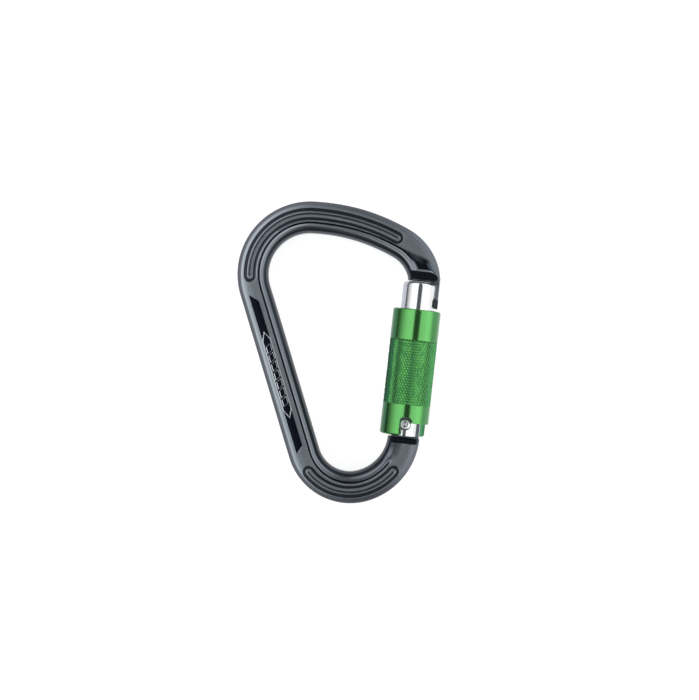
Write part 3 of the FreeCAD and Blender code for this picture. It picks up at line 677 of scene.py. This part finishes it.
def prism(outline, low, high, edge, axes):
    """Solid between two levels from a closed outline, with its end edges rounded."""
    outline = np.asarray(outline, float)
    before, after = np.roll(outline, 1, axis=0), np.roll(outline, -1, axis=0)
    tangent = after - before
    tangent /= np.linalg.norm(tangent, axis=1)[:, None]
    inward = np.column_stack([-tangent[:, 1], tangent[:, 0]])
    area = 0.5 * np.sum(outline[:, 0] * after[:, 1] - after[:, 0] * outline[:, 1])
    inward *= 1 if area > 0 else -1
    layers = []
    for level, sign in ((low, 1), (high, -1)):
        for t in np.linspace(0, math.pi / 2, 5)[::sign]:
            layers.append((level + sign * edge * (1 - math.sin(t)), edge * (1 - math.sin(math.pi / 2 - t))))
    verts = []
    for level, tuck_in in layers:
        flat = outline + inward * tuck_in
        column = [None, None, None]
        column[axes[0]], column[axes[1]] = flat[:, 0], flat[:, 1]
        column[3 - axes[0] - axes[1]] = np.full(len(flat), level)
        verts.append(np.column_stack(column))
    n = len(outline)
    faces = grid_faces(len(layers), n)
    faces.append(list(range(n)))
    faces.append(list(range((len(layers) - 1) * n, len(layers) * n)))
    return np.vstack(verts), faces


def closed_fillet(points, radius):
    """Closed outline with every corner rounded."""
    points = [np.array(p, float) for p in points]
    n = len(points)
    out = []
    for k in range(n):
        corner = fillet([points[k - 1], points[k], points[(k + 1) % n]], [radius], steps=4)
        out += list(corner[1:-1])
    return np.array(out)


def joined(parts):
    """One vertex list and one face list from several."""
    verts, faces, base = [], [], 0
    for part_verts, part_faces in parts:
        verts.append(part_verts)
        faces += [[index + base for index in face] for face in part_faces]
        base += len(part_verts)
    return np.vstack(verts), faces


# Hinge tang, and nose key with its outer cheek: x from the gate's axis, y above the rivet.
TANG_OUT, TANG_IN, TANG_ROOT, TANG_HALF = 5.7, -4.3, -6.5, 2.0
KEY_IN, KEY_OUT, KEY_END, KEY_ROOT = 3.6, 7.1, 42.5, 53.5
HEAD_HALF, NECK_HALF, HEAD_CHAMFER = 2.6, 1.6, 0.6
HEAD_TOP, NECK_START, HEAD_DARK = 45.1, 45.9, 0.75
CHEEK_IN, CHEEK_END, CHEEK_TOP = 5.7, 42.1, 44.7
EDGE_ROUND = 0.25


def hinge_tang():
    """Tang between the gate's ears, with the cam that the plunger rides on as its top."""
    outline = closed_fillet([
        (TANG_OUT, TANG_ROOT), (TANG_OUT, 1.4), (2.6, 3.2), (0.6, 4.24), (-1.6, 5.1), (TANG_IN, 5.6),
        (TANG_IN, TANG_ROOT),
    ], 0.5)
    return prism(outline, -TANG_HALF, TANG_HALF, EDGE_ROUND, (0, 1))


def mirrored(side):
    """Closed outline from its lower half, given as (y, z) points."""
    return side + [(y, -z) for y, z in reversed(side)]


def nose_key():
    """T-shaped key: a wide head on a narrow neck."""
    side = [(KEY_END, HEAD_CHAMFER - HEAD_HALF), (KEY_END + HEAD_CHAMFER, -HEAD_HALF),
            (HEAD_TOP, -HEAD_HALF), (NECK_START, -NECK_HALF), (KEY_ROOT, -NECK_HALF)]
    return prism(closed_fillet(mirrored(side), 0.3), KEY_IN, KEY_OUT, EDGE_ROUND, (1, 2))


def key_cheek():
    """The key's outer cheek, which reaches down to the sleeve."""
    side = [(CHEEK_END, HEAD_CHAMFER - HEAD_HALF), (CHEEK_END + HEAD_CHAMFER, -HEAD_HALF),
            (CHEEK_TOP, -HEAD_HALF)]
    return prism(closed_fillet(mirrored(side), 0.3), CHEEK_IN, KEY_OUT, EDGE_ROUND, (1, 2))


def forged_frame():
    """Bar, tang and key as one piece. The key's head has painted shade, darker than its neck."""
    bar_verts, bar_faces, bar_masks = swept_bar()
    verts, faces = joined([(bar_verts, bar_faces), hinge_tang(), nose_key(), key_cheek()])
    masks = np.zeros((len(verts), 4))
    own = len(bar_masks)
    masks[:own] = bar_masks
    y = verts[own:, 1]
    # Painted shade on the key's head and cheek.
    masks[own:, 0] = HEAD_DARK * (y > NOSE_Y / 2) * inside(y - HEAD_TOP - 0.3, 0.4)
    piece = make_mesh("forged_frame", verts, faces, "frame", frame_metal, sharp=40, masks=masks)
    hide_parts("body")


forged_frame()

# ------------------------------------------------------------------ sleeve
SLEEVE_R, SLEEVE_BORE = 8.6, 6.1
SLEEVE_LOW, SLEEVE_HIGH = -4.2, 41.3
COLLAR_BORE, COLLAR_LOW, COLLAR_HIGH = 5.1, 9.4, 12.0
TOP_EDGE_R, FOOT_R, BORE_CHAMFER = 0.7, 0.9, 0.25
# The knurl: its band with a fine line at both edges, its starts round the sleeve and the columns of vertices
# that each takes, its depth and slope, and how flat and how unevenly worn its diamonds are.
BAND_LOW, BAND_HIGH = 6.7, 30.6
BAND_LINES, BAND_LINE_DEEP = (BAND_LOW + 0.12, BAND_HIGH - 0.12), 0.04
STARTS_ROUND, PER_START = 50, 12
KNURL_DEEP, KNURL_EASE = 0.42, 0.3
KNURL_SLOPE = math.tan(math.radians(30))
DIAMOND_FLAT, DIAMOND_WEAR = 1.12, 0.35


def ring(r, y, turn):
    """Points of a circle about the gate's axis."""
    return np.column_stack([r * np.sin(turn), np.full(len(turn), y), r * np.cos(turn)])


def sleeve_upper():
    """Knurled band, smooth top band, top edge and bore."""
    segments = STARTS_ROUND * PER_START
    turn = np.linspace(0, 2 * math.pi, segments, endpoint=False)
    # Rows lie one column's slant apart, so that every groove runs along vertices.
    axial = 2 * math.pi * SLEEVE_R / (STARTS_ROUND * KNURL_SLOPE)
    rows_of_knurl = int(round((BAND_HIGH - BAND_LOW) / (axial / PER_START)))
    edge_from = SLEEVE_HIGH - TOP_EDGE_R
    ys = np.concatenate([
        np.linspace(BAND_LOW, BAND_HIGH, rows_of_knurl + 1),
        np.linspace(BAND_HIGH, edge_from, 30)[1:],
        SLEEVE_HIGH - TOP_EDGE_R * np.cos(np.linspace(0.12, math.pi / 2, 8)),
    ])
    # Each diamond stands a little higher or lower than its neighbours, as a rolled knurl does.
    uneven = np.random.default_rng(11).random((STARTS_ROUND, STARTS_ROUND))
    rows, marks = [], []
    for k, y in enumerate(ys):
        fade = rise(y, BAND_LOW + KNURL_EASE, KNURL_EASE) * fall(y, BAND_HIGH - KNURL_EASE, KNURL_EASE)
        a = np.arange(segments) / PER_START + k / PER_START
        b = np.arange(segments) / PER_START - k / PER_START
        ridge = np.minimum(np.abs(a - np.round(a)), np.abs(b - np.round(b))) * 2
        wear = uneven[np.floor(a).astype(int) % STARTS_ROUND, np.floor(b).astype(int) % STARTS_ROUND]
        low = 1 - np.clip(ridge * DIAMOND_FLAT, 0, 1 - DIAMOND_WEAR * wear)
        line = sum(inside(abs(y - edge) - 0.1, 0.16) for edge in BAND_LINES)
        above = max(0.0, y - edge_from)
        round_off = TOP_EDGE_R - math.sqrt(max(0.0, TOP_EDGE_R ** 2 - above ** 2))
        rows.append(ring(SLEEVE_R - fade * KNURL_DEEP * low - BAND_LINE_DEEP * line - round_off, y, turn))
        # Painted shade in the knurl's grooves, plus tone that differs at random from diamond to diamond.
        marks.append(fade * np.clip(0.34 * low + 0.6 * (wear - 0.5), 0, 1))
    for r, y in (
        (SLEEVE_BORE + BORE_CHAMFER, SLEEVE_HIGH),
        (SLEEVE_BORE, SLEEVE_HIGH - BORE_CHAMFER),
        (SLEEVE_BORE, COLLAR_HIGH),
        (COLLAR_BORE, COLLAR_HIGH),
        (COLLAR_BORE, COLLAR_LOW),
        (SLEEVE_BORE, COLLAR_LOW),
        (SLEEVE_BORE, BAND_LOW),
    ):
        rows.append(ring(r, y, turn))
        marks.append(np.zeros(segments))
    return np.vstack(rows), grid_faces(len(rows), segments, loop_rows=True), np.concatenate(marks)


# The skirt's cut-out, by its turn about the gate, with a round notch at the rivet.
WINDOW_FROM, WINDOW_TO = math.radians(-14.0), math.radians(116.0)
NOTCH_R, WINDOW_TOP = 2.6, 0.55
EDGE_R = 0.22
FULL_TURN = 2 * math.pi
NOTCH_TURN = 0.6  # beyond this turn there is no notch
EASE_TURN = 1.0  # turn over which the bore's edge falls back into line
ROWS_BELOW, ROWS_ABOVE = 26, 44


def window_edge(turn):
    """Height of the cut-out's upper edge."""
    x = SLEEVE_R * math.sin(turn)
    if abs(turn) < NOTCH_TURN and abs(x) < NOTCH_R:
        return max(WINDOW_TOP, math.sqrt(NOTCH_R ** 2 - x ** 2))
    return WINDOW_TOP


def skirt_turns():
    """Turns of the skirt's columns, closer at the cut-out's sides, and how many span the cut-out."""
    fine, notch_side = 0.08, 0.36
    closed_to = WINDOW_FROM + FULL_TURN
    window = np.concatenate([
        np.linspace(WINDOW_FROM, notch_side, 70)[:-1],
        np.linspace(notch_side, WINDOW_TO - fine, 110)[:-1],
        np.linspace(WINDOW_TO - fine, WINDOW_TO, 18),
    ])
    wall = np.concatenate([
        np.linspace(WINDOW_TO, WINDOW_TO + fine, 18)[:-1],
        np.linspace(WINDOW_TO + fine, closed_to - fine, 240)[:-1],
        np.linspace(closed_to - fine, closed_to, 18),
    ])[1:-1]
    return np.concatenate([window, wall]), len(window)


def bore_turn(around):
    """Turn of the bore's column behind an outer one: the notch's wall runs straight back."""
    x = SLEEVE_R * math.sin(around)
    if abs(around) < NOTCH_TURN and abs(x) <= NOTCH_R:
        return math.asin(np.clip(x / SLEEVE_BORE, -1, 1))
    if around > 0:
        outer, inner = math.asin(NOTCH_R / SLEEVE_R), math.asin(NOTCH_R / SLEEVE_BORE)
        share = min(1.0, (around - outer) / (WINDOW_TO - outer))
        return inner + (WINDOW_TO - inner) * share if around < WINDOW_TO else around
    inner = math.asin(SLEEVE_R * math.sin(WINDOW_FROM) / SLEEVE_BORE)
    share = min(1.0, (WINDOW_FROM - around) / EASE_TURN)
    aligned = WINDOW_FROM - EASE_TURN
    return inner * (1 - share) + aligned * share if around > aligned else around


def skirt_radius(around, ys):
    """Outer radius down one column, rounded at the cut-out, the notch and the foot."""
    over = np.maximum(WINDOW_FROM - around, around - WINDOW_TO) * SLEEVE_R
    gap = np.hypot(max(over, 0.0), np.maximum(ys - WINDOW_TOP, 0.0))
    if WINDOW_FROM < around < 2 * NOTCH_TURN:
        to_notch = np.maximum(np.hypot(SLEEVE_R * math.sin(around), ys) - NOTCH_R, 0.0)
        gap = np.minimum(gap, to_notch)
    at_cut = EDGE_R - np.sqrt(np.maximum(0, EDGE_R ** 2 - np.maximum(0, EDGE_R - gap) ** 2))
    under = np.maximum(0, FOOT_R - (ys - SLEEVE_LOW))
    at_foot = FOOT_R - np.sqrt(np.maximum(0, FOOT_R ** 2 - under ** 2))
    return SLEEVE_R - at_cut - at_foot


def sleeve_skirt():
    """Smooth bottom band with the cut-out and the rivet's notch."""
    turns, open_cols = skirt_turns()
    left_edge = window_edge(WINDOW_FROM)
    outer, inner = [], []
    for k, turn in enumerate(turns):
        if k < open_cols:
            edge = window_edge(turn)
        else:
            share = (turn - WINDOW_TO) / (WINDOW_FROM + FULL_TURN - WINDOW_TO)
            edge = WINDOW_TOP + (left_edge - WINDOW_TOP) * share
        below = np.linspace(0, 1, ROWS_BELOW + 1)[:-1]
        above = np.linspace(0, 1, ROWS_ABOVE)
        ys = np.concatenate([SLEEVE_LOW + (edge - SLEEVE_LOW) * below ** 1.3,
                             edge + (BAND_LOW - edge) * above ** 2])
        around = turn if turn < math.pi + (WINDOW_FROM + WINDOW_TO) / 2 else turn - FULL_TURN
        r = skirt_radius(around, ys)
        outer.append(np.column_stack([r * math.sin(turn), ys, r * math.cos(turn)]))
        behind = bore_turn(around)
        inner.append(np.column_stack([np.full(len(ys), SLEEVE_BORE * math.sin(behind)), ys,
                                      np.full(len(ys), SLEEVE_BORE * math.cos(behind))]))
    cols, rows = len(turns), ROWS_BELOW + ROWS_ABOVE
    verts = np.vstack([np.array(outer).reshape(-1, 3), np.array(inner).reshape(-1, 3)])
    return verts, skirt_faces(cols, rows, open_cols)


def skirt_faces(cols, rows, open_cols):
    """Quads of the skirt's outer wall, bore, rim and the two sides of its cut-out."""
    def out(j, i):
        return (j % cols) * rows + i

    def bore(j, i):
        return cols * rows + out(j, i)

    faces = []
    for j in range(cols):
        end = ROWS_BELOW if j < open_cols - 1 else 0
        for i in range(end, rows - 1):
            faces.append([out(j, i), out(j + 1, i), out(j + 1, i + 1), out(j, i + 1)])
            faces.append([bore(j, i), bore(j, i + 1), bore(j + 1, i + 1), bore(j + 1, i)])
        faces.append([out(j, end), bore(j, end), bore(j + 1, end), out(j + 1, end)])
        faces.append([out(j, rows - 1), out(j + 1, rows - 1), bore(j + 1, rows - 1), bore(j, rows - 1)])
    for j in (0, open_cols - 1):
        for i in range(ROWS_BELOW):
            faces.append([out(j, i), out(j, i + 1), bore(j, i + 1), bore(j, i)])
    return faces


def bell(x, middle, width):
    """Soft bump of height 1."""
    return np.exp(-((x - middle) / width) ** 2)


def sleeve_shade_masks(verts, grooves):
    """Painted shade in the grooves, and painted shade and dark reflections on the two sides."""
    x, y = verts[:, 0], verts[:, 1]
    sides = 0.88 * fall(x, -6.3, 0.9) + 0.45 * rise(x, 5.3, 0.9)
    sides = sides + 0.5 * rise(x, 5.0, 0.4) * fall(y, 0.5, 0.4)
    # Two soft streaks of painted dark reflection on the knurl, where the smooth bands mirror the dark gaps.
    knurled = rise(y, BAND_LOW, 0.8) * fall(y, BAND_HIGH, 0.8)
    sides = sides + knurled * (0.34 * bell(x, -0.2, 0.8) + 0.42 * bell(x, -5.0, 0.9))
    unused = np.zeros(len(x))
    return np.column_stack([grooves, np.clip(sides, 0, 1), unused, unused])


def locking_sleeve():
    """The sleeve as two pieces: grip and skirt."""
    verts, faces, grooves = sleeve_upper()
    grip = make_mesh("sleeve_grip", verts, faces, "sleeve", sleeve_metal, sharp=50,
                     masks=sleeve_shade_masks(verts, grooves))
    verts, faces = sleeve_skirt()
    skirt = make_mesh("sleeve_skirt", verts, faces, "sleeve", sleeve_metal, sharp=50,
                      masks=sleeve_shade_masks(verts, np.zeros(len(verts))))
    for piece in (grip, skirt):
        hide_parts("locking_sleeve")


locking_sleeve()

# ------------------------------------------------------------------ rivet: dimpled head, plain rear end
RIVET_R, HEAD_R, REAR_Z = 2.0, 2.05, -4.4
HEAD_FROM, HEAD_Z, DIMPLE_Z, DIMPLE_R = 4.45, 5.5, 4.86, 0.93


def formed_rivet():
    """Turned profile from the rear end to the dimple, as (radius, height) points, spun about the hinge."""
    profile = fillet([
        (0.0, REAR_Z), (RIVET_R - 0.25, REAR_Z), (RIVET_R, REAR_Z + 0.3), (RIVET_R, HEAD_FROM),
        (HEAD_R, HEAD_FROM), (HEAD_R, HEAD_FROM + 0.4), (1.8, HEAD_Z - 0.14), (1.3, HEAD_Z),
        (DIMPLE_R + 0.09, HEAD_Z - 0.08), (DIMPLE_R - 0.11, DIMPLE_Z + 0.09), (0.35, DIMPLE_Z),
        (0.0, DIMPLE_Z + 0.14),
    ], [0.1, 0.2, 0.02, 0.02, 0.3, 0.5, 0.25, 0.25, 0.15, 0.3], steps=5)
    segments = 96
    turn = np.linspace(0, FULL_TURN, segments, endpoint=False)
    radii, heights = np.maximum(profile[:, 0], 1e-3), profile[:, 1]
    rings = [np.column_stack([r * np.cos(turn), r * np.sin(turn), np.full(segments, z)])
             for r, z in zip(radii, heights)]
    faces = grid_faces(len(rings), segments)
    faces += [list(range(segments)), list(range((len(rings) - 1) * segments, len(rings) * segments))]
    # Only the head's front takes the dimple's painted shade.
    elsewhere = 9.0
    around_dimple = np.repeat(np.where(heights > 4.7, profile[:, 0], elsewhere), segments)
    wall = bell(around_dimple, DIMPLE_R, 0.16)
    cup = 0.8 * fall(around_dimple, DIMPLE_R + 0.02, 0.3)
    unused = np.zeros(len(wall))
    piece = make_mesh("rivet_formed", np.vstack(rings), faces, "gate", rivet_metal, sharp=60,
                      masks=np.column_stack([wall, cup, unused, unused]))
    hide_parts("hinge_rivet")


formed_rivet()

# ------------------------------------------------------------------ CAD nodes that stay
for node, material in (
    ("gate", gate_metal),
    ("gate_plunger", plunger_metal),
    ("gate_spring", spring_metal),
    ("sleeve_spring", spring_metal),
    ("spring_washer", washer_metal),
):
    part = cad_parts[node]
    part.data.materials.clear()
    part.data.materials.append(material)


# ------------------------------------------------------------------ floor, light and camera
FLOOR_HALF, FLOOR_GAP = 3.0, 0.0002


def paper_floor():
    """Plain pale floor just under the object."""
    z = CAD_LOW.z - FLOOR_GAP
    corners = [(-FLOOR_HALF, -FLOOR_HALF, z), (FLOOR_HALF, -FLOOR_HALF, z), (FLOOR_HALF, FLOOR_HALF, z),
               (-FLOOR_HALF, FLOOR_HALF, z)]
    mesh = bpy.data.meshes.new("floor")
    mesh.from_pydata(corners, [], [(0, 1, 2, 3)])
    floor = bpy.data.objects.new("floor", mesh)
    bpy.context.scene.collection.objects.link(floor)
    material, nodes, links, principled = shader("floor_paper", Roughness=0.9, Specular_IOR_Level=0.1,
                                                Emission_Strength=0.8)
    principled.inputs["Base Color"].default_value = (0.4, 0.4, 0.4, 1)
    principled.inputs["Emission Color"].default_value = (1, 1, 1, 1)
    mesh.materials.append(material)


# The light is set by its angle across the gate, in degrees with 0 straight up. Two soft boxes fade towards
# the horizon on both sides of a dark gap overhead. Towards the bar's two ends it is dim.
STRENGTH, STRENGTH_BACK, STRENGTH_FRONT = 1.7, 0.45, 0.12
BACK_FADE, FRONT_FADE = (50.0, 76.0), (-50.0, -30.0)
GAP_CENTRE, GAP_HALF, GAP_EDGE, GAP_LEVEL = 3.8, 13.5, 2.0, 0.06
LIGHT_LEVELS = [
    (-100, 0.2), (-88, 0.14), (-80, 0.32), (-70, 0.5), (-60, 0.68), (-42, 0.95),
    (GAP_CENTRE - GAP_HALF - GAP_EDGE, 1.0),
    (GAP_CENTRE - GAP_HALF, GAP_LEVEL),
    (GAP_CENTRE + GAP_HALF, GAP_LEVEL),
    (GAP_CENTRE + GAP_HALF + GAP_EDGE, 0.85),
    (40, 0.9), (60, 1.1), (72, 1.0), (84, 0.7), (100, 0.6),
]
LIGHT_TINT, GAP_TINT = (1.0, 1.01, 1.02), (0.94, 1.06, 1.1)


def studio_light():
    """World light by direction, from the levels above."""
    world = bpy.data.worlds.new("studio")
    bpy.context.scene.world = world
    world.use_nodes = True
    nodes, links = world.node_tree.nodes, world.node_tree.links
    background = nodes["Background"]
    coords = nodes.new("ShaderNodeTexCoord")
    split = nodes.new("ShaderNodeSeparateXYZ")
    links.new(coords.outputs["Generated"], split.inputs["Vector"])
    x, y, z = (split.outputs[axis] for axis in "XYZ")

    def math_node(operation, first, second=None):
        """A maths node of one or two sockets or numbers."""
        node = nodes.new("ShaderNodeMath")
        node.operation = operation
        for socket, value in zip(node.inputs, (first, second)):
            if isinstance(value, (int, float)):
                socket.default_value = value
            elif value is not None:
                links.new(value, socket)
        return node.outputs[0]

    def angle(opposite, adjacent):
        return math_node("MULTIPLY", math_node("ARCTAN2", opposite, adjacent), 180 / math.pi)

    def smooth_range(value, limits, first, last):
        """Value eased from one level to another between two limits."""
        node = nodes.new("ShaderNodeMapRange")
        node.interpolation_type = "SMOOTHSTEP"
        for ends, (low, high) in (("From", limits), ("To", (first, last))):
            node.inputs[ends + " Min"].default_value = low
            node.inputs[ends + " Max"].default_value = high
        links.new(value, node.inputs["Value"])
        return node.outputs["Result"]

    levels = nodes.new("ShaderNodeValToRGB")
    elements = levels.color_ramp.elements
    while len(elements) < len(LIGHT_LEVELS):
        elements.new(0.5)
    for element, (degrees, level) in zip(elements, LIGHT_LEVELS):
        element.position = (degrees + 180) / 360
        tint = GAP_TINT if level == GAP_LEVEL else LIGHT_TINT
        element.color = (*(level * t for t in tint), 1)
    across = angle(x, z)
    links.new(math_node("DIVIDE", math_node("ADD", across, 180.0), 360.0), levels.inputs["Fac"])
    links.new(levels.outputs["Color"], background.inputs["Color"])
    flat = math_node("SQRT", math_node("ADD", math_node("MULTIPLY", x, x), math_node("MULTIPLY", z, z)))
    lengthways = angle(y, flat)
    back = smooth_range(lengthways, BACK_FADE, STRENGTH, STRENGTH_BACK)
    front = smooth_range(lengthways, FRONT_FADE, STRENGTH_FRONT, STRENGTH)
    links.new(math_node("MINIMUM", back, front), background.inputs["Strength"])
    bpy.context.scene.view_settings.view_transform = "Standard"


# The camera looks straight down, turned a little, with the object slightly off the picture's middle.
CAMERA_HEIGHT, FOCUS_Z, VIEW_WIDTH = 0.60, 0.0025, 0.2516
CAMERA_RIGHT, CAMERA_UP, CAMERA_ROLL = 0.0061, 0.0015, 6.4


def photo_camera():
    """Camera above the object, whose field at the focus height is VIEW_WIDTH wide."""
    data = bpy.data.cameras.new("camera")
    data.sensor_width = 36.0
    data.lens = data.sensor_width * CAMERA_HEIGHT / VIEW_WIDTH
    camera = bpy.data.objects.new("camera", data)
    bpy.context.scene.collection.objects.link(camera)
    centre = (CAD_LOW + CAD_HIGH) / 2
    camera.location = (centre.x + CAMERA_RIGHT, centre.y + CAMERA_UP, CAMERA_HEIGHT + FOCUS_Z)
    camera.rotation_euler = (0, 0, math.radians(CAMERA_ROLL))
    bpy.context.scene.camera = camera


paper_floor()
studio_light()
photo_camera()
